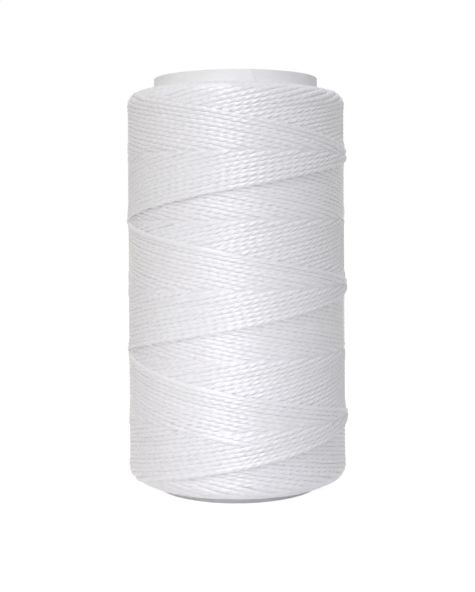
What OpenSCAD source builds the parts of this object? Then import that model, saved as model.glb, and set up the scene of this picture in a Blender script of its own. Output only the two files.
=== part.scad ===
// Cross-wound spool of twisted thread on a spiral-wound paper tube.
// Millimetres. +Z runs up the axis of the tube, and the origin is the centre
// of the tube's lower end, on which the spool stands.

/* [Paper tube] */
// Diameter of the bore, which takes the spool pin
bore_d = 38.1; // [30:0.1:42]
// Length of the tube
tube_len = 101.6; // [80:0.1:130]
// Thickness of the smooth inner liner
liner_t = 0.35; // [0.2:0.05:0.5]
// Thickness of the inner board ply
inner_board_t = 0.45; // [0.3:0.05:0.7]
// Thickness of the outer board ply
outer_board_t = 0.45; // [0.3:0.05:0.7]
// Thickness of the white paper wrap
wrap_t = 0.2; // [0.1:0.05:0.4]
// Glue line between one ply and the next
glue_t = 0.02; // [0.01:0.01:0.05]
// Bevel that the cutting knife leaves on the two edges of each end
knife_bevel = 0.12; // [0.05:0.01:0.18]
// Slope of the helical seams, measured from the horizontal
seam_slope = 65; // [45:1:75]
// Width of the butt gap where the edges of one strip meet
seam_w = 0.3; // [0.2:0.05:0.6]

/* [Winding] */
// Diameter of the full package
package_d = 54.3; // [52:0.1:64]
// Length of bare tube under the winding
bare_bottom = 2.2; // [1:0.1:8]
// Length of bare tube over the winding
bare_top = 2.6; // [1:0.1:8]
// Rise of the upper end face from its shoulder to the tube
crown = 0.8; // [0.2:0.1:1.5]
// Radius of the shoulders at both ends of the inner layers
shoulder_r = 1.5; // [0.8:0.1:1.8]
// Clearance between the tube and the first layer
tube_seat = 0.05; // [0.02:0.01:0.2]

/* [Thread] */
// Diameter of the thread
thread_d = 1; // [0.8:0.05:1.1]
// Gap between the rising and the falling layer where they cross
layer_gap = 0.42; // [0.42:0.02:0.8]
// Clearance between the inner layers and the outer turns
turn_seat = 0.03; // [0.02:0.01:0.2]
// Times that the thread goes up and comes down again
traverses = 4; // [2:1:4]
// Turns that one traverse up and down takes, less the step to the next one
traverse_turns = 6; // [4:1:6]
// Angle over which the thread changes layer on each side of a turn-back
climb_angle = 30; // [20:5:40]

/* [Hidden] */

round_fn = 128;         // facets of the round solids
cut_over = 0.5;         // overshoot of a cutter past the faces that it opens
seam_slices = 24;       // steps of a seam along the tube
arc_steps = 6;          // steps of a shoulder's quarter arc

// Radii of the plies, from the bore outwards
bore_r = bore_d/2;
inner_board_r = bore_r + liner_t + glue_t;
outer_board_r = inner_board_r + inner_board_t + glue_t;
wrap_r = outer_board_r + outer_board_t + glue_t;
tube_r = wrap_r + wrap_t;

// Azimuths of the seams at the lower end: each ply covers the seam below it
inner_board_seam = 80;
outer_board_seam = 200;
wrap_seam = 54;

// Ends of the winding, and the heights at which the thread turns back
wind_z0 = bare_bottom;
wind_z1 = tube_len - bare_top;
turn_z0 = wind_z0 + shoulder_r;
turn_z1 = wind_z1 - crown - shoulder_r;

// Rings and sides of the thread's tube, which lies flat on the layer below it
rings_per_turn = 24;
thread_sides = 6;
ring_step = 360/rings_per_turn;
flat_r = thread_d/2*cos(180/thread_sides);

// The falling passes lie in the outer layer, the rising ones in the layer
// below it. A chord between two rings sags towards the axis, so the inner
// layers are sized to the middle of the chord.
outer_orbit = package_d/2 - flat_r;
inner_orbit = outer_orbit - thread_d - layer_gap;
core_r = inner_orbit*cos(ring_step/2) - flat_r - turn_seat;

// Each traverse ends short of whole turns, which spreads the passes evenly
pass_angle = 360*(traverse_turns - 1/traverses)/2;
pass_rise = turn_z1 - turn_z0;
turn_ease = ring_step;  // angle over which a turn-back rounds off
rise_rate = pass_rise/(pass_angle - turn_ease);
bend_r = thread_d;      // bend where the thread leaves the inner layers
bend_steps = 3;

// ---- paper tube ----

// Cutter for the helical butt gap of a ply between radii r and r + t
module seam_cut(r, t, azimuth) {
    lead = 2*PI*r*tan(seam_slope);
    h = tube_len + 2*cut_over;
    rotate([0, 0, azimuth])
        translate([0, 0, -cut_over])
            linear_extrude(height = h, twist = 360*h/lead, slices = seam_slices)
                translate([r - cut_over, -seam_w/2])
                    square([t + 2*cut_over, seam_w]);
}

// Plain ply with the knife's bevel on its inner or its outer edges
module ply(r, t, bevel_in = 0, bevel_out = 0) {
    rotate_extrude($fn = round_fn)
        polygon([
            [r, bevel_in],
            [r + bevel_in, 0],
            [r + t - bevel_out, 0],
            [r + t, bevel_out],
            [r + t, tube_len - bevel_out],
            [r + t - bevel_out, tube_len],
            [r + bevel_in, tube_len],
            [r, tube_len - bevel_in]
        ]);
}

module tube_liner() {
    color("tan")
        ply(bore_r, liner_t, bevel_in = knife_bevel);
}

module tube_board_inner() {
    color("burlywood")
        difference() {
            ply(inner_board_r, inner_board_t);
            seam_cut(inner_board_r, inner_board_t, inner_board_seam);
        }
}

module tube_board_outer() {
    color("burlywood")
        difference() {
            ply(outer_board_r, outer_board_t);
            seam_cut(outer_board_r, outer_board_t, outer_board_seam);
        }
}

module tube_wrap() {
    color("whitesmoke")
        difference() {
            ply(wrap_r, wrap_t, bevel_out = min(knife_bevel, wrap_t/2));
            seam_cut(wrap_r, wrap_t, wrap_seam);
        }
}

// ---- inner layers ----

// Quarter arc of radius r about c, from angle a0
function arc(c, r, a0) =
    [for (i = [0 : arc_steps]) c + r*[cos(a0 + 90*i/arc_steps), sin(a0 + 90*i/arc_steps)]];

module thread_core() {
    color("gainsboro")
        rotate_extrude($fn = round_fn)
            polygon(concat(
                [[tube_r + tube_seat, wind_z0]],
                arc([core_r - shoulder_r, turn_z0], shoulder_r, -90),
                arc([core_r - shoulder_r, turn_z1], shoulder_r, 0),
                [[tube_r + tube_seat, wind_z1]]
            ));
}

// ---- outer layer, wound as one thread ----

// Climb from a turn-back after u degrees, slow at first and then steady
function climb(u) = u < turn_ease ? rise_rate*u*u/(2*turn_ease) : rise_rate*(u - turn_ease/2);

// Height gained after m degrees of a pass
function pass_height(m) =
    m < pass_angle/2 ? climb(m) : pass_rise - climb(pass_angle - m);

function ease(t) = t*t*(3 - 2*t);

function is_rising(a) = floor(a/pass_angle) % 2 == 0;

// Height of the thread's centre line after a degrees of winding
function height(a) =
    let (h = pass_height(a - pass_angle*floor(a/pass_angle)))
    is_rising(a) ? turn_z0 + h : turn_z1 - h;

// Share of the way from the inner to the outer orbit after a degrees. The
// first pass comes from the outer orbit, where the thread leaves the core.
function layer_share(a) =
    let (m = a - pass_angle*floor(a/pass_angle),
         from_turn = min(m, pass_angle - m),
         share = ease(max(0, 0.5 - from_turn/(2*climb_angle))))
    a < climb_angle ? ease(1 - a/climb_angle) : is_rising(a) ? share : 1 - share;

function orbit(a) = inner_orbit + (outer_orbit - inner_orbit)*layer_share(a);

function point_at(a) = [orbit(a)*cos(a), orbit(a)*sin(a), height(a)];

// The thread comes square out of the inner layers at the first turn-back and
// is tucked square into them before the last one.
wound_angle = 2*traverses*pass_angle;
tail_angle = wound_angle - ring_step*ceil(climb_angle/ring_step);
wound = [for (a = [ring_step : ring_step : tail_angle - ring_step]) point_at(a)];

// Straight run and bend at azimuth a and height z. side is the way along the
// turn in which the thread runs on, 1 or -1, and slope its rise on that way.
function stub(a, z, side, slope) =
    let (out = [cos(a), sin(a), 0],
         run = side*[-sin(a), cos(a), 0] + [0, 0, slope],
         on = run/norm(run))
    concat(
        [out*(core_r + turn_seat) + [0, 0, z]],
        [for (i = [0 : bend_steps])
            let (t = 90*i/bend_steps)
            out*(outer_orbit - bend_r + bend_r*sin(t)) + on*bend_r*(1 - cos(t)) + [0, 0, z]]
    );

function reversed(list) = [for (i = [len(list) - 1 : -1 : 0]) list[i]];

tail_slope = rise_rate*180/PI/outer_orbit;
lead_in = stub(0, height(0), 1, 0);
tail = reversed(stub(tail_angle, height(tail_angle), -1, tail_slope));
path = concat(lead_in, wound, tail);

// Unit tangent of the path at point i, square to the core at both ends
function unit(v) = v/norm(v);
function tangent(i) =
    i == 0 ? unit(path[1] - path[0]) :
    i == len(path) - 1 ? unit(path[i] - path[i - 1]) :
    unit(unit(path[i + 1] - path[i]) + unit(path[i] - path[i - 1]));

// Ring of the tube around point i, with one flat side towards the axis
function ring(i) =
    let (t = tangent(i),
         up = unit([0, 0, 1] - t*t[2]),
         side = cross(t, up))
    [for (k = [0 : thread_sides - 1])
        let (a = 360*(k + 0.5)/thread_sides)
        path[i] + thread_d/2*(cos(a)*side + sin(a)*up)];

// Least gap of the thread to itself. Two turns come closest on one azimuth,
// so each ring step is compared with the same step of every later turn, and
// the two stubs with the whole winding.
gap_samples = [0 : 0.2 : 0.8];
function between(i, t) = wound[i]*(1 - t) + wound[i + 1]*t;
function turn_gaps() =
    [for (i = [0 : len(wound) - 2 - rings_per_turn])
        for (j = [i + rings_per_turn : rings_per_turn : len(wound) - 2])
            for (t = gap_samples)
                norm(between(i, t) - between(j, t)) - thread_d];
function stub_gaps() =
    [for (i = [1 : len(wound) - 3])
        for (t = gap_samples)
            for (p = concat(lead_in, tail))
                norm(between(i, t) - p) - thread_d];
function least_gap() = min(concat(turn_gaps(), stub_gaps()));

module thread_winding() {
    n = thread_sides;
    rings = len(path);
    corners = [for (i = [0 : rings - 1]) each ring(i)];
    walls = [for (i = [0 : rings - 2])
        for (k = [0 : n - 1])
            let (a = i*n + k, b = i*n + (k + 1)%n)
            each [[a, b, b + n], [a, b + n, a + n]]];
    last = (rings - 1)*n;
    start_cap = [for (k = [1 : n - 2]) [0, k + 1, k]];
    end_cap = [for (k = [1 : n - 2]) [last, last + k, last + k + 1]];
    echo(least_gap_of_the_thread_to_itself = least_gap());
    color("white")
        polyhedron(points = corners, faces = concat(walls, start_cap, end_cap));
}

tube_liner();
tube_board_inner();
tube_board_outer();
tube_wrap();
thread_core();
thread_winding();
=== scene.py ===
"""Looks of the spool of thread: a white cross-wound package of three-ply thread on a paper tube.

All lengths in the thread code are millimetres and become metres when a mesh is made.
The thread is laid as the winder lays it. Pass by pass, oldest first, each strand comes to rest
on the height map that the strands before it have made, and is then added to that map.
"""

import math

import bpy
import numpy as np
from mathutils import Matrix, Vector


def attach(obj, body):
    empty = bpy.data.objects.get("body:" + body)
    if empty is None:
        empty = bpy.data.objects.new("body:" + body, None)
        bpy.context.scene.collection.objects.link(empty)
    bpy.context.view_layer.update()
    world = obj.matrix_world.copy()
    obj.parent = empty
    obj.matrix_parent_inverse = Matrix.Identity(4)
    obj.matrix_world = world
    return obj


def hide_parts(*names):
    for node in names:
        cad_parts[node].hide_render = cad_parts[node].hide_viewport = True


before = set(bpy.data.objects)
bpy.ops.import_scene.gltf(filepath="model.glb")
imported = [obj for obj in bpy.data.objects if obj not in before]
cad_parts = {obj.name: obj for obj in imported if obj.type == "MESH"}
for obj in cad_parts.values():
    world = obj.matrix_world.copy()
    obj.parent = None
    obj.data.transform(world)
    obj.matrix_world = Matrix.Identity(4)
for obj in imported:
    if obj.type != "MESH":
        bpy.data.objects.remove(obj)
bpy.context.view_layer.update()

MM = 0.001
TURN = 2 * math.pi
RNG = np.random.default_rng(20)

# The package as in part.scad, but with a slightly lower foot, as in the photo. Its end faces rise
# by CROWN towards the tube
TUBE_R = 20.56
PACKAGE_R = 27.15
FACE_LOW = 1.95
FACE_HIGH = 98.16
CROWN = 0.84

# How deep the base surface lies under the package's outside, and the radius of its shoulders
SIDE_COVER = 1.5
FACE_COVER = 0.9
FILLET = 2.4
# How far the end faces lie below that outside, and how the upper one leans about its mean
END_SINK = 0.1
TILT = 0.2
TILT_MEAN = 0.5

# The thread: tension flattens a strand on its neighbours, so it is wider than it is high
HALF_WIDTH = 0.61
HALF_HEIGHT = 0.44
# Its plies, the length in which they turn once, and the length round the thread
PLIES = 3
LAY = 6.3
THREAD_ROUND = 3.3
# Place and radius of a ply in thread radii, and the share of its relief that a strand's sides keep
PLY_OFFSET = 0.5
PLY_R = 0.5
SIDE_RELIEF = 0.4
# Rings of vertices, and their distance where the thread shows and where it is hidden
RING_POINTS = 12
RING_GAP = 0.3
HIDDEN_RING_GAP = 3 * RING_GAP

# The winding: strands each way round the package, turns in one pass, and rise in one radian
STARTS = 31
SWEEPS = 3
SLOPE = 5.12
# Passes in one layer, and the layers laid here
LAYER_PASSES = 2 * STARTS
LAYERS = 2
# Where the thread turns back, where its last pass begins, and the angle between two strands
TRAVERSE_LOW = 1.7
TRAVERSE_HIGH = TRAVERSE_LOW + SLOPE * TURN * (SWEEPS + 1 / LAYER_PASSES)
START_AZIMUTH = math.radians(181)
STEP = TURN / STARTS
# Angles over which a turn-back is rounded off, and how much further over the shoulders the layer
# under the last one reaches
TURN_BACK_WIDTHS = (0.3, 0.8)
OLDER_REACH = 0.95
# How far a strand drifts aside, and the waves in one turn that make up the drift
DRIFT = 0.04
DRIFT_WAVES = (1.1, 2.3, 3.7, 6.1, 9.4)
DRIFT_WAVES_SIZE = 1.3

# The height map: columns round the package, and cells along the base profile
COLUMNS = 864
MAP_STEP = 0.1
# Lower than any thread
NOWHERE = -9.0
# Where the layers under those laid here end, from the base surface: depth on the side, and height
# on the end faces
OLDER_COVER = 1.36
FACE_FILL = 0.5
# How much higher a layer stands where its strands are new
RISE = 0.6
# Room that a strand has over its expected height, and how far that limit is smoothed in columns
SPARE = 0.1
LIMIT_SMOOTH = 6.0

# A strand rests on what lies this near its centre line. It spans dips this short, is smoothed so
# much, and is pressed this deep into what is under it
TOUCH_WIDTH = 0.25
SPAN_COLUMNS = 5
SPAN_SMOOTH = 4.0
SINK = 0.16
# How far it can rise over its limit, and how slowly it gets there
GIVE = 0.25
GIVE_SCALE = 0.8
# Smoothing of the finished strand's height, in columns
REST_SMOOTH = 3.0

# A strand shows where it comes this near the finished map, and so many columns to each side. Of
# the layer under the last one, stretches of so many columns or fewer are left out
SHOWS_FROM = -0.12
SHOWS_COLUMNS = 8
SHORTEST_SHOWN = 12

# The older layers' turn-backs lie in rings on the end faces: how far apart the rings are, how far
# each is turned on from the one before, and how far the lower face is turned from the upper one
END_RINGS = 3
END_RING_STEP = 0.9
END_RING_TURN = 1.9
FOOT_TURN = 0.5
# How far the innermost ring reaches into the tube, and how far a turn-back strays in and along
END_OVERLAP = 0.1
END_SCATTER = 0.12
END_DRIFT = 0.1
# Angles over which they are rounded off, and how far their legs come back out
END_WIDTHS = (0.3, 0.7)
END_LEG = 1.25
# The share of each half from which it dives, and how deep its end lies
DIVE_FROM = 0.75
DIVE_DEPTH = 0.5

# The last layer's turn-backs are fuller and smoother, from so far inside the side's ends
END_SWELL = 1.1
END_RELIEF = 0.7
END_MARGIN = 1
END_FADE = 2.0
# Age, rising or not, heights, azimuths in degrees, thickness and ply relief of the plump stretches
PLUMP = (
    (1, False, 57, 68, 188, 262, 1.22, 0.15),
    (1, False, 24, 34, 188, 262, 1.22, 0.15),
    (11, False, 2, 17, 190, 281, 1.2, 0.6),
    (0, True, 6, 12, 247, 293, 1.05, 0.8),
)
# They fade out over so many millimetres and radians
PLUMP_FADE = 1.0
PLUMP_TURN_FADE = 0.12
# Both ends of the thread dip under their neighbours over so many columns
TUCK_COLUMNS = 36
TUCK_DEPTH = 1.3
# Near the foot two falling strands, given by age, are laid late: just before the rising strand of
# age LATE_AGE. LATE_FOOT moves the start of that stretch, in half steps between strands
LATE_STRANDS = (10, 11)
LATE_AGE = 4
LATE_FOOT = 2.2

# The older thread is a ring from every CORE_EVERY-th place of the map, a little lower than it
CORE_EVERY = 4
CORE_DROP = 0.05
# Holes up to twice so many columns and cells wide are filled to a depth of GAP_DEPTH
GAP_REACH = (4, 7)
GAP_DEPTH = 0.42

# The thread is shown in pieces of at most so many rings, and of so many tubes at the two
# ends. The thread is shown in pieces small enough to be exported whole
RINGS_PER_PIECE = 8000
TUBES_PER_PIECE = 64

# UV maps, and the radius of a thread's cap in its cell of the second one
FIBRE_MAP = "Fibres"
BAKE_MAP = "OFBake"
CAP_MAP_R = 0.4

# The thread: streaks in a millimetre along and round it, their share in its tone, and broad patches
STREAK_SCALE = (0.35, 9, 1)
STREAK_SHARE = 0.6
PATCH_SCALE = 260
THREAD_TONES = ((0.904, 0.895, 0.952), (0.939, 0.93, 0.982))
THREAD_SHINE = {
    "Roughness": 0.38,
    "Specular IOR Level": 1.0,
    "IOR": 1.6,
    "Coat Weight": 0.5,
    "Coat Roughness": 0.2,
}

# The paper: tones from dark to light, and the fibres' directions, size and flecks
WRAP_TONES = ((0.93, 0.93, 0.962), (0.965, 0.965, 0.992))
BOARD_TONES = ((0.30, 0.21, 0.13), (0.46, 0.34, 0.22))
LINER_TONES = ((0.36, 0.265, 0.17), (0.50, 0.39, 0.27))
FLECK_TONES = ((0.975, 0.975, 0.975), (1, 1, 1))
PAPER_TURNS = ((0.0, 0.0, 0.0), (1.1, 0.3, 0.0), (-1.1, 0.3, 0.0), (0.0, 1.2, 0.5))
PAPER_SCALE = (2800, 2800, 1300)
# The outer board is white beyond this radius, where it faces less than so much up or down
BOARD_OUTSIDE = 20.3
BOARD_UPRIGHT = 0.5

# The floor: a disc of rings of points, its shade, and the glow that the camera sees on it
FLOOR_R = 6000.0
FLOOR_RINGS = 24
FLOOR_POINTS = 96
FLOOR_GREY = 0.85
FLOOR_GLOW = 0.75

# Camera, in metres, as fitted to the photo's outline
CAMERA_PLACE = (0, -0.2661, 0.06815)
CAMERA_LENS = 63.9
CAMERA_SHIFT = (0.0022, -0.1419)
ROLL = math.radians(0.35)

# Lamps: place, target, width and height in metres, then watts and colour
COOL_LAMP = (0.965, 0.972, 1.0)
WARM_LAMP = (1.0, 0.8, 0.3)
LAMPS = (
    ("key", (-0.06, -0.209, 0.385), (0, 0, 0.05), (0.1, 0.04), 0.3, COOL_LAMP),
    ("strip", (-0.03, -0.28, 0.19), (0, 0, 0.05), (0.06, 0.22), 0.136, COOL_LAMP),
    ("low_spot", (-0.015, -0.088, 0.036), (0, 0, 0.008), (0.03, 0.03), 0.0092, COOL_LAMP),
    ("high_spot", (-0.015, -0.1, 0.15), (0, 0, 0.098), (0.03, 0.03), 0.009, COOL_LAMP),
    ("warm_fill", (-0.35, -0.12, 0.08), (0, 0, 0.05), (0.2, 0.3), 0.037, WARM_LAMP),
)
# Light from all round, warmer from the left
WORLD_LIGHT = 0.352
WARM_LEFT = (1.0, 0.97, 0.86)
COOL_RIGHT = (0.92, 0.935, 1.0)


# ---------------------------------------------------------------- the package's base surface
SIDE_R = PACKAGE_R - SIDE_COVER
SIDE_LOW = FACE_LOW + FACE_COVER + FILLET
SIDE_HIGH = FACE_HIGH - FACE_COVER - FILLET
FILLET_LEN = FILLET * math.pi / 2
FACE_LEN = SIDE_R - FILLET - TUBE_R
M_LOW = SIDE_LOW - FILLET_LEN - FACE_LEN
M_HIGH = SIDE_HIGH + FILLET_LEN + FACE_LEN
MIDDLE = (SIDE_LOW + SIDE_HIGH) / 2


def smooth_step(x):
    """From 0 at 0 to 1 at 1, level at both."""
    return x * x * (3 - 2 * x)


def base_profile(m):
    """Radius, height and outward normal of the base surface at m, which runs along its profile.

    On the side m is z."""
    m = np.asarray(m, float)
    up = np.clip((m - SIDE_HIGH) / FILLET, 0, math.pi / 2)
    down = np.clip((SIDE_LOW - m) / FILLET, 0, math.pi / 2)
    on_top = np.clip(m - SIDE_HIGH - FILLET_LEN, 0, None)
    on_bottom = np.clip(SIDE_LOW - FILLET_LEN - m, 0, None)
    centre_r = SIDE_R - FILLET
    turn = up + down
    r = centre_r + FILLET * np.cos(turn) - on_top - on_bottom
    z = np.clip(m, SIDE_LOW, SIDE_HIGH) + FILLET * (np.sin(up) - np.sin(down))
    z = z + CROWN * on_top / FACE_LEN
    return r, z, np.cos(turn), np.sin(up) - np.sin(down)


def cover(m):
    """Depth of thread between the base surface and the package's outside."""
    turn = np.clip((m - SIDE_HIGH) / FILLET_LEN, 0, 1) + np.clip((SIDE_LOW - m) / FILLET_LEN, 0, 1)
    return SIDE_COVER + (FACE_COVER - SIDE_COVER) * smooth_step(turn)


def side_share(m):
    """1 on the side of the package and 0 on its end faces."""
    return (cover(m) - FACE_COVER) / (SIDE_COVER - FACE_COVER)


def end_sink(azimuth, m):
    """How far the end faces lie below the package's outside: the upper one leans to the right."""
    lean = np.where(m > MIDDLE, TILT_MEAN + np.cos(azimuth), 0)
    return (END_SINK + TILT * lean) * (1 - side_share(m))


def strand_age(azimuth, m, rising):
    """Which strand of its direction covers a place: 0 is the newest, STARTS the oldest."""
    along = (np.clip(m, TRAVERSE_LOW, TRAVERSE_HIGH) - TRAVERSE_LOW) / SLOPE
    if rising:
        return np.mod((START_AZIMUTH - azimuth + along) / STEP + 0.5, STARTS) - 0.5
    return np.mod(1 + (START_AZIMUTH - azimuth - along) / STEP - 0.5, STARTS) + 0.5 - 1


# ---------------------------------------------------------------- paths
def wander(azimuth, size):
    """A slow sideways drift, different for each strand."""
    out = np.zeros_like(azimuth)
    for w in DRIFT_WAVES:
        out += RNG.normal() / math.sqrt(w) * np.sin(w * azimuth + RNG.uniform(0, TURN))
    return size * out / DRIFT_WAVES_SIZE


def soft_peak(x, width):
    """|x| with its tip rounded over the width on each side."""
    a = np.abs(x)
    return np.where(a < width, (a * a + width * width) / (2 * width), a)


def package_path():
    """The thread's path over all its passes: its first column, m, and each place's pass number."""
    per_pass = TURN * (SWEEPS + 1 / LAYER_PASSES)
    passes = LAYER_PASSES * LAYERS
    first = START_AZIMUTH - (passes - 1) * per_pass
    start_column = int(math.ceil(first / TURN * COLUMNS))
    azimuth = (start_column + np.arange(int(passes * per_pass / TURN * COLUMNS))) * TURN / COLUMNS
    phase = azimuth - first
    number = np.clip(phase // per_pass, 0, passes - 1).astype(int)
    turn_back = np.round(phase / per_pass).astype(int)
    widths = RNG.uniform(*TURN_BACK_WIDTHS, passes + 1)
    rounded = soft_peak(phase - turn_back * per_pass, widths[turn_back])
    # The layer under the last one has a smaller radius, so it reaches further over the shoulders
    reach = np.where(number >= passes - LAYER_PASSES, 0, OLDER_REACH)
    rising_at_foot = turn_back % 2 == 1
    rising_m = TRAVERSE_LOW - reach + SLOPE * rounded
    falling_m = TRAVERSE_HIGH + reach - SLOPE * rounded
    m = np.where(rising_at_foot, rising_m, falling_m)
    for k in range(passes):
        mine = number == k
        m[mine] += wander(azimuth[mine], DRIFT)
    return start_column, m, number


def expected_top(azimuth, m, number, newest):
    """Height at which a strand's top should lie when laid, from how many strands lie under it."""
    age = (newest - number + 1) // 2
    rising = (newest - number) % 2 == 0
    crossing = np.where(rising, strand_age(azimuth, m, False), strand_age(azimuth, m, True))
    crossing = crossing + np.where(crossing < np.mod(age, STARTS), STARTS, 0)
    layers = (age + crossing) / STARTS
    return cover(m) + side_share(m) * RISE * (1 - layers) - end_sink(azimuth, m)


def late_strands(m, number):
    """Marks the stretch near the foot where two falling strands are laid late."""
    late = np.zeros(len(m), bool)
    half_step = SLOPE * STEP / 2
    for age in LATE_STRANDS:
        falling = number == number.max() + 1 - 2 * age
        foot = TRAVERSE_LOW + half_step * (STARTS + LATE_FOOT - (age - 1))
        late |= falling & (m > foot) & (m < foot + half_step * STARTS)
    return late


# ---------------------------------------------------------------- laying
def smooth_line(values, sigma):
    """Values smoothed by a bell curve of so many places."""
    reach = int(3 * sigma)
    kernel = np.exp(-0.5 * (np.arange(-reach, reach + 1) / sigma) ** 2)
    padded = np.pad(values, reach, mode="edge")
    return np.convolve(padded, kernel / kernel.sum(), mode="valid")


def highest_near(values, reach):
    """The highest value within so many places of each."""
    padded = np.pad(values, reach, mode="edge")
    out = values.copy()
    for k in range(2 * reach + 1):
        np.maximum(out, padded[k:k + len(values)], out=out)
    return out


def start_map():
    """The layers under those laid here, which stand RISE higher where their strands are new."""
    azimuth = np.arange(COLUMNS)[:, None] * TURN / COLUMNS
    m = M_LOW + np.arange(int((M_HIGH - M_LOW) / MAP_STEP) + 1)[None, :] * MAP_STEP
    ages = strand_age(azimuth, m, True) + strand_age(azimuth, m, False)
    side = side_share(m)
    return side * (RISE * (1 - ages / STARTS) - OLDER_COVER) + (1 - side) * FACE_FILL


def cells_near(surface, m, reach):
    """Map cells within reach of each path place, and how far aside of it they lie."""
    window = int(math.ceil(reach / MAP_STEP)) + 1
    near = np.arange(-window, window + 1)
    cell = np.round((m - M_LOW) / MAP_STEP).astype(int)
    cell = np.clip(cell, window, surface.shape[1] - 1 - window)
    cells = cell[:, None] + near[None, :]
    return cells, M_LOW + cells * MAP_STEP - m[:, None]


def strand_tops(centre, aside, half_width, half_height):
    """Height of a strand's upper side, so far aside of its centre line."""
    share = aside / half_width[:, None]
    bulge = half_height[:, None] * np.sqrt(np.clip(1 - share * share, 0, None))
    return np.where(np.abs(share) < 1, centre[:, None] + bulge, NOWHERE)


def lay(surface, columns, azimuth, m, swell, limit):
    """Rests one strand on the map, adds it there, and returns the height of its centre line."""
    half_width, half_height = HALF_WIDTH * swell, HALF_HEIGHT * swell
    slope = np.gradient(m, azimuth) / SIDE_R
    cells, aside = cells_near(surface, m, half_width.max())
    aside = aside / np.sqrt(1 + slope * slope)[:, None]
    column = (columns % COLUMNS)[:, None]
    under = surface[column, cells]
    touch = np.where(np.abs(aside) < TOUCH_WIDTH, under, NOWHERE).max(axis=1)
    centre = smooth_line(highest_near(touch, SPAN_COLUMNS), SPAN_SMOOTH) + half_height - SINK
    top = limit - half_height
    centre = np.where(centre > top, top + GIVE * np.tanh((centre - top) / GIVE_SCALE), centre)
    surface[column, cells] = np.maximum(under, strand_tops(centre, aside, half_width, half_height))
    return centre


def visible(surface, columns, m, height, swell):
    """Where a strand shows on the finished map, or nearly does."""
    cells, aside = cells_near(surface, m, HALF_WIDTH * swell.max())
    tops = strand_tops(height, aside, HALF_WIDTH * swell, HALF_HEIGHT * swell)
    above = tops - surface[(columns % COLUMNS)[:, None], cells]
    return highest_near((above.max(axis=1) > SHOWS_FROM).astype(float), SHOWS_COLUMNS) > 0


class Run:
    """One stretch of thread: its columns on the map, its path, thickness and ply relief."""

    def __init__(self, first_column, m):
        count = len(m)
        self.column = first_column + np.arange(count)
        self.azimuth = self.column * TURN / COLUMNS
        self.m = m
        self.height = np.zeros(count)
        self.swell = np.ones(count)
        self.relief = np.ones(count)

    def part(self, stretch):
        run = Run(self.column[stretch.start], self.m[stretch])
        run.height, run.swell = self.height[stretch], self.swell[stretch]
        run.relief = self.relief[stretch]
        return run

    def lay(self, surface, part, limit):
        self.height[part] = lay(surface, self.column[part], self.azimuth[part], self.m[part],
                                self.swell[part], limit)


def end_run(surface, ring, k, at_top):
    """Turn-back k in one ring of an end face. Both its ends dive under the turn-backs beside it."""
    side = 1 if at_top else -1
    edge = SIDE_HIGH + FILLET_LEN if at_top else SIDE_LOW - FILLET_LEN
    inward = FACE_LEN - HALF_WIDTH + END_OVERLAP - END_RING_STEP * ring
    inward += RNG.uniform(-END_SCATTER, END_SCATTER)
    width = RNG.uniform(*END_WIDTHS)
    reach = int((width / 2 + END_LEG / SLOPE) / TURN * COLUMNS)
    middle = k * STEP + ring * END_RING_TURN + END_DRIFT * RNG.normal()
    middle += 0 if at_top else FOOT_TURN
    across = np.arange(-reach, reach + 1) * TURN / COLUMNS
    m = edge + side * (inward - SLOPE * (soft_peak(across, width) - width / 2))
    run = Run(int(middle / TURN * COLUMNS) - reach, m)
    run.lay(surface, slice(None), cover(m) - end_sink(run.azimuth, m))
    from_middle = np.abs(across) / (reach * TURN / COLUMNS)
    dive = np.clip(from_middle - DIVE_FROM, 0, None) / (1 - DIVE_FROM)
    run.height -= DIVE_DEPTH * dive * dive
    return run


def end_runs(surface):
    """Turn-backs of the older layers, which make the package's two end faces."""
    runs = []
    for ring in range(END_RINGS):
        for k in range(STARTS):
            runs.append(end_run(surface, ring, k, at_top=True))
            runs.append(end_run(surface, ring, k, at_top=False))
    return runs


def stretches(mask):
    """The unbroken stretches where mask is true, as slices."""
    edges = np.flatnonzero(np.diff(np.concatenate([[0], mask.astype(int), [0]])))
    return [slice(first, last) for first, last in edges.reshape(-1, 2)]


def window(x, low, high, fade):
    """1 between low and high, falling smoothly to 0 over the fade on each side."""
    rise = np.clip((x - low + fade) / fade, 0, 1)
    fall = np.clip((high + fade - x) / fade, 0, 1)
    return smooth_step(rise) * smooth_step(fall)


def plump(thread, number):
    """Makes the turn-backs, and the stretches that look so in the photo, thicker and smoother."""
    turn = np.mod(thread.azimuth, TURN)
    over_end = 1 - window(thread.m, SIDE_LOW + END_MARGIN, SIDE_HIGH - END_MARGIN, END_FADE)
    thread.swell += (END_SWELL - 1) * over_end
    thread.relief += (END_RELIEF - 1) * over_end
    for age, rising, low, high, start, stop, swell, relief in PLUMP:
        mine = number == number.max() - 2 * age + (0 if rising else 1)
        share = mine * window(thread.m, low, high, PLUMP_FADE)
        share = share * window(turn, math.radians(start), math.radians(stop), PLUMP_TURN_FADE)
        thread.swell += (swell - 1) * share
        thread.relief += (relief - 1) * share


def tuck(run):
    """Dips both ends of the thread under its neighbours."""
    count = len(run.m)
    from_end = np.minimum(np.arange(count), np.arange(count)[::-1])
    dip = 1 - np.clip(from_end / TUCK_COLUMNS, 0, 1)
    run.height -= TUCK_DEPTH * smooth_step(dip)


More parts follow.
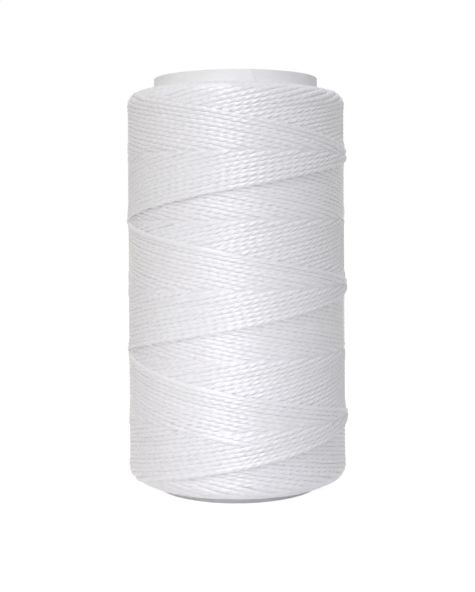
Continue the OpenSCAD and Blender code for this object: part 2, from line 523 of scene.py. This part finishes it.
def lay_package():
    """Lays the older turn-backs and the last two layers, oldest pass first.

    Returns the map, the map as it was under the last layer, the last layer, and the stretches of
    older thread that show at the two ends."""
    surface = start_map()
    ends = end_runs(surface)
    start_column, m, number = package_path()
    newest = number.max()
    thread = Run(start_column, m)
    late = late_strands(m, number)
    limit = expected_top(thread.azimuth, m, number, newest) + SPARE
    limit = smooth_line(limit, LIMIT_SMOOTH)
    plump(thread, number)
    for k in range(newest + 1):
        if k == newest + 1 - LAYER_PASSES:
            older = surface.copy()
        for part in stretches((number == k) & ~late):
            thread.lay(surface, part, limit[part])
        if k == newest - 2 * LATE_AGE - 1:
            for part in stretches(late):
                thread.lay(surface, part, limit[part] + RISE)
    thread.height = smooth_line(thread.height, REST_SMOOTH)
    last = number > newest - LAYER_PASSES
    shown = visible(surface, thread.column, thread.m, thread.height, thread.swell)
    over_end = (thread.m > SIDE_HIGH) | (thread.m < SIDE_LOW)
    older_shown = stretches(~last & shown & over_end)
    ends += [thread.part(s) for s in older_shown if s.stop - s.start > SHORTEST_SHOWN]
    last_layer = thread.part(stretches(last)[0])
    tuck(last_layer)
    return surface, older, last_layer, ends


# ---------------------------------------------------------------- meshes
def place(azimuth, m, height):
    """Points and outward normals of a path."""
    r, z, nr, nz = base_profile(m)
    c, s = np.cos(azimuth), np.sin(azimuth)
    r_at = r + nr * height
    points = np.stack([r_at * c, r_at * s, z + nz * height], axis=1)
    normals = np.stack([nr * c, nr * s, nz], axis=1)
    return points, normals


def unit(v):
    return v / np.linalg.norm(v, axis=1, keepdims=True)


def ply_section(points):
    """Angles round the thread from one crest, and its radius there as a share of the largest."""
    angle = np.arange(points) * TURN / points
    fold = np.mod(angle + math.pi / PLIES, TURN / PLIES) - math.pi / PLIES
    return angle, PLY_OFFSET * np.cos(fold) + np.sqrt(PLY_R ** 2 - (PLY_OFFSET * np.sin(fold)) ** 2)


def tube_rings(points, normals, length, swell, relief):
    """Rings of vertices of a thread along the points, its plies turning with the length."""
    tangents = unit(np.gradient(points, axis=0))
    outward = unit(normals - (normals * tangents).sum(axis=1, keepdims=True) * tangents)
    across = np.cross(tangents, outward)
    angle, share = ply_section(RING_POINTS)
    around = angle[None, :] - TURN * length[:, None] / LAY
    pressed = SIDE_RELIEF + (1 - SIDE_RELIEF) * np.cos(around) ** 2
    reach = swell[:, None] * (1 + relief[:, None] * pressed * (share[None, :] - 1))
    up = HALF_HEIGHT * reach * np.cos(around)
    aside = HALF_WIDTH * reach * np.sin(around)
    offset = up[..., None] * outward[:, None, :]
    return points[:, None, :] + offset + aside[..., None] * across[:, None, :]


def ring_quads(count):
    """Quads that join each ring of vertices to the next."""
    ring = np.arange(count - 1)[:, None] * RING_POINTS
    k = np.arange(RING_POINTS)[None, :]
    k_next = (k + 1) % RING_POINTS
    following = ring + RING_POINTS
    quads = np.stack([ring + k, ring + k_next, following + k_next, following + k], axis=2)
    return quads.reshape(-1, 4)


def new_mesh(name, vertices, quads, caps=(), maps=None):
    """A mesh object from arrays. Caps are polygons as vertex numbers, maps are UV maps by name."""
    mesh = bpy.data.meshes.new(name)
    loops = np.concatenate([quads.ravel()] + [np.asarray(c) for c in caps]).astype(np.int32)
    sizes = np.array([4] * len(quads) + [len(c) for c in caps], np.int32)
    starts = np.concatenate([[0], np.cumsum(sizes)[:-1]]).astype(np.int32)
    mesh.vertices.add(len(vertices))
    mesh.vertices.foreach_set("co", (vertices * MM).astype(np.float32).ravel())
    mesh.loops.add(len(loops))
    mesh.loops.foreach_set("vertex_index", loops)
    mesh.polygons.add(len(sizes))
    mesh.polygons.foreach_set("loop_start", starts)
    mesh.update(calc_edges=True)
    mesh.polygons.foreach_set("use_smooth", np.ones(len(sizes), bool))
    for map_name, places in (maps or {}).items():
        layer = mesh.uv_layers.new(name=map_name, do_init=False)
        layer.uv.foreach_set("vector", places.astype(np.float32).ravel())
    mesh.validate()
    obj = bpy.data.objects.new(name, mesh)
    bpy.context.collection.objects.link(obj)
    return obj


def run_rings(run, surface):
    """The rings of one run, closer together where it shows."""
    shown = visible(surface, run.column, run.m, run.height, run.swell)
    points, normals = place(run.azimuth, run.m, run.height)
    step = np.linalg.norm(np.diff(points, axis=0), axis=1)
    length = np.concatenate([[0], np.cumsum(step)])
    spacing = np.where(shown, RING_GAP, HIDDEN_RING_GAP)
    rings = np.concatenate([[0], np.cumsum(step / spacing[:-1])])
    index = np.arange(len(rings))
    at = np.interp(np.arange(int(rings[-1]) + 1), rings, index)
    line, out = ([np.interp(at, index, a[:, axis]) for axis in range(3)]
                 for a in (points, normals))
    along, swell, relief = (np.interp(at, index, a) for a in (length, run.swell, run.relief))
    return tube_rings(np.stack(line, axis=1), np.stack(out, axis=1), along, swell, relief)


def tube_maps(counts):
    """Two UV maps of tubes with so many rings each.

    FIBRE_MAP is millimetres along and round the thread. BAKE_MAP is the same unrolled surface cut
    into equal strips that lie one above the other, with the caps in rows of their own."""
    side = np.arange(RING_POINTS)
    bases = np.cumsum([0] + counts[:-1])
    first = np.concatenate([np.arange(n - 1) + base for n, base in zip(counts, bases)])
    ring = first[:, None, None] + np.array([0, 0, 1, 1])
    spoke = side[None, :, None] + np.array([0, 1, 1, 0])
    ring, spoke = np.broadcast_arrays(ring, spoke)
    fibre = np.stack([ring * RING_GAP, spoke * THREAD_ROUND / RING_POINTS], axis=-1).reshape(-1, 2)
    strip_len = int(math.ceil(math.sqrt(sum(counts) * (RING_POINTS + 1))))
    strip = (first // strip_len)[:, None, None]
    along = ring - strip * strip_len
    strips = sum(counts) // strip_len + 1
    up = strip * (RING_POINTS + 1) + spoke
    angle = side * TURN / RING_POINTS
    cap = np.arange(2 * len(counts))[:, None]
    cap_along = cap % strip_len + 0.5 + CAP_MAP_R * np.cos(angle)
    cap_up = strips * (RING_POINTS + 1) + cap // strip_len + 0.5 + CAP_MAP_R * np.sin(angle)
    high = strips * (RING_POINTS + 1) + cap.max() // strip_len + 1
    sides = np.stack([along / (strip_len + 1), up / high], axis=-1).reshape(-1, 2)
    caps = np.stack([cap_along / (strip_len + 1), cap_up / high], axis=-1).reshape(-1, 2)
    bake = np.concatenate([sides, caps])
    fibre = np.concatenate([fibre, np.zeros((cap.size * RING_POINTS, 2))])
    return {FIBRE_MAP: fibre, BAKE_MAP: bake}


def tube_object(name, tubes):
    """One mesh of several closed tubes, each given as its rings."""
    vertices, quads, caps, base = [], [], [], 0
    for rings in tubes:
        count = len(rings)
        vertices.append(rings.reshape(-1, 3))
        quads.append(ring_quads(count) + base)
        caps.append(np.arange(RING_POINTS)[::-1] + base)
        caps.append(np.arange(RING_POINTS) + base + (count - 1) * RING_POINTS)
        base += count * RING_POINTS
    maps = tube_maps([len(rings) for rings in tubes])
    return new_mesh(name, np.concatenate(vertices), np.concatenate(quads), caps, maps)


def thread_pieces(surface, thread, ends):
    """The last layer's one thread, in pieces that meet end to end, and the two end faces."""
    rings = run_rings(thread, surface)
    pieces = []
    for number, first in enumerate(range(0, len(rings) - 1, RINGS_PER_PIECE)):
        stretch = rings[first:first + RINGS_PER_PIECE + 1]
        pieces.append(tube_object(f"thread_{number + 1:02d}", [stretch]))
    for name, wanted in (("thread_end_top", True), ("thread_end_bottom", False)):
        tubes = [run_rings(run, surface) for run in ends if (run.m.mean() > SIDE_HIGH) == wanted]
        for part, first in enumerate(range(0, len(tubes), TUBES_PER_PIECE)):
            pieces.append(tube_object(f"{name}_{part + 1}", tubes[first:first + TUBES_PER_PIECE]))
    return pieces


def spread(heights, columns, cells, pick):
    """The highest or lowest value, as pick says, within so many columns and cells of each place."""
    out = heights
    for step in range(-columns, columns + 1):
        out = pick(out, np.roll(heights, step, axis=0))
    padded = np.pad(out, ((0, 0), (cells, cells)), mode="edge")
    for step in range(2 * cells + 1):
        out = pick(out, padded[:, step:step + heights.shape[1]])
    return out


def core_heights(surface, older):
    """Height of the older thread, which comes up where the last layer leaves a hole."""
    filled = spread(spread(surface, *GAP_REACH, np.maximum), *GAP_REACH, np.minimum)
    filled = spread(filled, CORE_EVERY, CORE_EVERY, np.minimum)
    return np.maximum(older - CORE_DROP, filled - GAP_DEPTH)


def core_piece(surface, older):
    """The older thread, which shows only through gaps: a closed ring from the map."""
    heights = core_heights(surface, older)[::CORE_EVERY, ::CORE_EVERY]
    m = M_LOW + np.arange(heights.shape[1]) * MAP_STEP * CORE_EVERY
    around = len(heights)
    r, z, nr, nz = base_profile(m)
    azimuth = (np.arange(around) * TURN / around)[:, None]
    reach = r + nr * heights
    inner = np.full((around, 1), TUBE_R)
    reach = np.concatenate([inner, reach, inner], axis=1)
    level = z + nz * heights
    level = np.concatenate([level[:, :1], level, level[:, -1:]], axis=1)
    vertices = np.stack([reach * np.cos(azimuth), reach * np.sin(azimuth), level], axis=2)
    count = vertices.shape[1]
    i = np.arange(around)[:, None]
    k = np.arange(count)[None, :]
    i_next, k_next = (i + 1) % around, (k + 1) % count
    here, beside = i * count, i_next * count
    quads = np.stack([here + k, beside + k, beside + k_next, here + k_next], axis=2)
    column, row = np.broadcast_arrays(i[..., None] + np.array([0, 1, 1, 0]),
                                      k[..., None] + np.array([0, 0, 1, 1]))
    corner = np.stack([column, row], axis=-1).reshape(-1, 2)
    maps = {FIBRE_MAP: corner * CORE_EVERY * MAP_STEP, BAKE_MAP: corner / (around, count)}
    return new_mesh("thread_under", vertices.reshape(-1, 3), quads.reshape(-1, 4), maps=maps)


# ---------------------------------------------------------------- materials
def new_material(name):
    material = bpy.data.materials.new(name)
    material.use_nodes = True
    nodes = material.node_tree.nodes
    nodes.clear()
    out = nodes.new("ShaderNodeOutputMaterial")
    shader = nodes.new("ShaderNodeBsdfPrincipled")
    material.node_tree.links.new(shader.outputs[0], out.inputs[0])
    return material, nodes, material.node_tree.links, shader


def set_inputs(node, values):
    for name, value in values.items():
        node.inputs[name].default_value = value


def noise(nodes, links, vector, scale, detail=3.0):
    node = nodes.new("ShaderNodeTexNoise")
    set_inputs(node, {"Scale": scale, "Detail": detail})
    links.new(vector, node.inputs["Vector"])
    return node.outputs["Fac"]


def ramp(nodes, links, factor, low, high, low_at=0.35, high_at=0.65):
    node = nodes.new("ShaderNodeValToRGB")
    node.color_ramp.elements[0].position = low_at
    node.color_ramp.elements[0].color = (*low, 1)
    node.color_ramp.elements[1].position = high_at
    node.color_ramp.elements[1].color = (*high, 1)
    links.new(factor, node.inputs[0])
    return node.outputs[0]


def bump(nodes, links, height, distance, strength):
    node = nodes.new("ShaderNodeBump")
    set_inputs(node, {"Strength": strength, "Distance": distance})
    links.new(height, node.inputs["Height"])
    return node.outputs[0]


def math_node(nodes, links, operation, first, second):
    node = nodes.new("ShaderNodeMath")
    node.operation = operation
    for value, socket in zip((first, second), node.inputs):
        if isinstance(value, float):
            socket.default_value = value
        else:
            links.new(value, socket)
    return node.outputs[0]


def fibre_noise(nodes, links):
    """Fine streaks that follow the plies."""
    way = nodes.new("ShaderNodeUVMap")
    way.uv_map = FIBRE_MAP
    mapping = nodes.new("ShaderNodeMapping")
    mapping.inputs["Scale"].default_value = STREAK_SCALE
    links.new(way.outputs[0], mapping.inputs["Vector"])
    return noise(nodes, links, mapping.outputs[0], scale=1.0, detail=4)


def thread_material():
    material, nodes, links, shader = new_material("thread_white")
    coords = nodes.new("ShaderNodeTexCoord").outputs["Object"]
    streaks = fibre_noise(nodes, links)
    patches = noise(nodes, links, coords, PATCH_SCALE)
    streak_part = math_node(nodes, links, "MULTIPLY", streaks, STREAK_SHARE)
    patch_part = math_node(nodes, links, "MULTIPLY", patches, 1 - STREAK_SHARE)
    tone = math_node(nodes, links, "ADD", streak_part, patch_part)
    links.new(ramp(nodes, links, tone, *THREAD_TONES), shader.inputs["Base Color"])
    relief = bump(nodes, links, streaks, distance=0.00002, strength=0.6)
    links.new(relief, shader.inputs["Normal"])
    set_inputs(shader, THREAD_SHINE)
    return material


def paper_fibres(nodes, links, coords):
    """Short fibres that lie in every direction, as on uncoated paper."""
    fibres = None
    for turn in PAPER_TURNS:
        mapping = nodes.new("ShaderNodeMapping")
        set_inputs(mapping, {"Rotation": turn, "Scale": PAPER_SCALE})
        links.new(coords, mapping.inputs["Vector"])
        strand = noise(nodes, links, mapping.outputs[0], scale=1.0, detail=2)
        fibres = math_node(nodes, links, "MAXIMUM", fibres, strand) if fibres else strand
    return fibres


def on_outside(nodes, links, coords):
    """1 on the outer face of the outer board and 0 on its cut ends and its bore."""
    flat = nodes.new("ShaderNodeVectorMath")
    flat.operation = "MULTIPLY"
    links.new(coords, flat.inputs[0])
    flat.inputs[1].default_value = (1, 1, 0)
    length = nodes.new("ShaderNodeVectorMath")
    length.operation = "LENGTH"
    links.new(flat.outputs[0], length.inputs[0])
    far_out = math_node(nodes, links, "GREATER_THAN", length.outputs["Value"], BOARD_OUTSIDE * MM)
    normal = nodes.new("ShaderNodeSeparateXYZ")
    links.new(nodes.new("ShaderNodeNewGeometry").outputs["Normal"], normal.inputs[0])
    up_or_down = math_node(nodes, links, "ABSOLUTE", normal.outputs[2], 0.0)
    upright = math_node(nodes, links, "LESS_THAN", up_or_down, BOARD_UPRIGHT)
    return math_node(nodes, links, "MULTIPLY", far_out, upright)


def paper_material(name, tones, scale, rough, gloss=0.4, white_outside=False):
    material, nodes, links, shader = new_material(name)
    coords = nodes.new("ShaderNodeTexCoord").outputs["Object"]
    tone = noise(nodes, links, coords, scale, detail=6)
    colour = ramp(nodes, links, tone, *tones)
    fibres = paper_fibres(nodes, links, coords)
    fleck = nodes.new("ShaderNodeMix")
    fleck.data_type = "RGBA"
    fleck.blend_type = "MULTIPLY"
    fleck.inputs["Factor"].default_value = 1.0
    links.new(colour, fleck.inputs["A"])
    flecks = ramp(nodes, links, fibres, *FLECK_TONES, low_at=0.5, high_at=0.72)
    links.new(flecks, fleck.inputs["B"])
    colour = fleck.outputs["Result"]
    if white_outside:
        white = nodes.new("ShaderNodeMix")
        white.data_type = "RGBA"
        links.new(on_outside(nodes, links, coords), white.inputs["Factor"])
        links.new(colour, white.inputs["A"])
        links.new(ramp(nodes, links, tone, *WRAP_TONES), white.inputs["B"])
        colour = white.outputs["Result"]
    links.new(colour, shader.inputs["Base Color"])
    relief = bump(nodes, links, fibres, distance=0.00001, strength=0.5)
    links.new(relief, shader.inputs["Normal"])
    set_inputs(shader, {"Roughness": rough, "Specular IOR Level": gloss})
    return material


# ---------------------------------------------------------------- stage
def mix_for_camera(tree, inner, white):
    """The white shader for camera, glossy and transmission rays, and the inner one for the rest."""
    nodes, links = tree.nodes, tree.links
    path = nodes.new("ShaderNodeLightPath").outputs
    either = math_node(nodes, links, "MAXIMUM", path["Is Camera Ray"], path["Is Glossy Ray"])
    any_of_them = math_node(nodes, links, "MAXIMUM", either, path["Is Transmission Ray"])
    mix = nodes.new("ShaderNodeMixShader")
    links.new(any_of_them, mix.inputs[0])
    links.new(inner, mix.inputs[1])
    links.new(white, mix.inputs[2])
    return mix.outputs[0]


def build_world(strength):
    world = bpy.data.worlds.new("studio")
    bpy.context.scene.world = world
    world.use_nodes = True
    nodes, links = world.node_tree.nodes, world.node_tree.links
    nodes.clear()
    out = nodes.new("ShaderNodeOutputWorld")
    fill = nodes.new("ShaderNodeBackground")
    fill.inputs["Strength"].default_value = strength
    direction = nodes.new("ShaderNodeSeparateXYZ")
    links.new(nodes.new("ShaderNodeTexCoord").outputs["Generated"], direction.inputs[0])
    sides = ramp(nodes, links, direction.outputs[0], WARM_LEFT, COOL_RIGHT, low_at=0.0, high_at=1.0)
    links.new(sides, fill.inputs["Color"])
    white = nodes.new("ShaderNodeBackground")
    white.inputs["Color"].default_value = (1, 1, 1, 1)
    seen = mix_for_camera(world.node_tree, fill.outputs[0], white.outputs[0])
    links.new(seen, out.inputs["Surface"])


def build_floor():
    """A round pale floor. For the camera a glow lifts it to white, so only the shadow shows."""
    rings, around = FLOOR_RINGS, FLOOR_POINTS
    reach = FLOOR_R * (np.arange(1, rings + 1) / rings) ** 2
    azimuth = np.arange(around) * TURN / around
    x, y = reach[:, None] * np.cos(azimuth), reach[:, None] * np.sin(azimuth)
    vertices = np.stack([x, y, np.zeros_like(x)], axis=2).reshape(-1, 3)
    i = np.arange(rings - 1)[:, None] * around
    k = np.arange(around)[None, :]
    k_next = (k + 1) % around
    quads = np.stack([i + k, i + around + k, i + around + k_next, i + k_next], axis=2)
    floor = new_mesh("floor", vertices, quads.reshape(-1, 4), [np.arange(around)])
    material, nodes, links, shader = new_material("floor_pale")
    grey = (FLOOR_GREY, FLOOR_GREY, FLOOR_GREY, 1)
    set_inputs(shader, {"Base Color": grey, "Roughness": 1.0, "Specular IOR Level": 0.0})
    glow = nodes.new("ShaderNodeEmission")
    glow.inputs["Strength"].default_value = FLOOR_GLOW
    add = nodes.new("ShaderNodeAddShader")
    links.new(shader.outputs[0], add.inputs[0])
    links.new(glow.outputs[0], add.inputs[1])
    out = next(n for n in nodes if n.type == "OUTPUT_MATERIAL")
    links.new(mix_for_camera(material.node_tree, shader.outputs[0], add.outputs[0]), out.inputs[0])
    floor.data.materials.append(material)


def area_light(name, centre, target, size, power, colour):
    light = bpy.data.lights.new(name, "AREA")
    light.shape = "RECTANGLE"
    light.size, light.size_y = size
    light.energy = power
    light.color = colour
    obj = bpy.data.objects.new(name, light)
    bpy.context.collection.objects.link(obj)
    obj.location = centre
    obj.rotation_euler = (Vector(target) - Vector(centre)).to_track_quat("-Z", "Y").to_euler()


def build_camera():
    data = bpy.data.cameras.new("camera")
    data.sensor_width = 36
    data.lens = CAMERA_LENS
    data.shift_x, data.shift_y = CAMERA_SHIFT
    data.clip_start = 0.01
    camera = bpy.data.objects.new("camera", data)
    bpy.context.collection.objects.link(camera)
    camera.location = CAMERA_PLACE
    camera.rotation_euler = (math.radians(90), ROLL, 0)
    bpy.context.scene.camera = camera


def build_thread():
    surface, older, last_layer, ends = lay_package()
    thread = thread_material()
    for piece in thread_pieces(surface, last_layer, ends):
        piece.data.materials.append(thread)
        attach(piece, "root")
        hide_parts("thread_winding")
    core = core_piece(surface, older)
    core.data.materials.append(thread)
    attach(core, "root")
    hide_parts("thread_core")


def dress_tube():
    looks = {
        "tube_wrap": paper_material("paper_white", WRAP_TONES, scale=300, rough=0.5, gloss=1.0),
        "tube_board_outer": paper_material("board_outer", BOARD_TONES, scale=900, rough=0.8,
                                           white_outside=True),
        "tube_board_inner": paper_material("board_inner", BOARD_TONES, scale=900, rough=0.8),
        "tube_liner": paper_material("liner_kraft", LINER_TONES, scale=500, rough=0.75),
    }
    for name, material in looks.items():
        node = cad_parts[name]
        node.data.materials.clear()
        node.data.materials.append(material)


def main():
    build_camera()
    build_thread()
    dress_tube()
    build_floor()
    build_world(WORLD_LIGHT)
    for lamp in LAMPS:
        area_light(*lamp)
    bpy.context.scene.view_settings.view_transform = "Standard"


main()
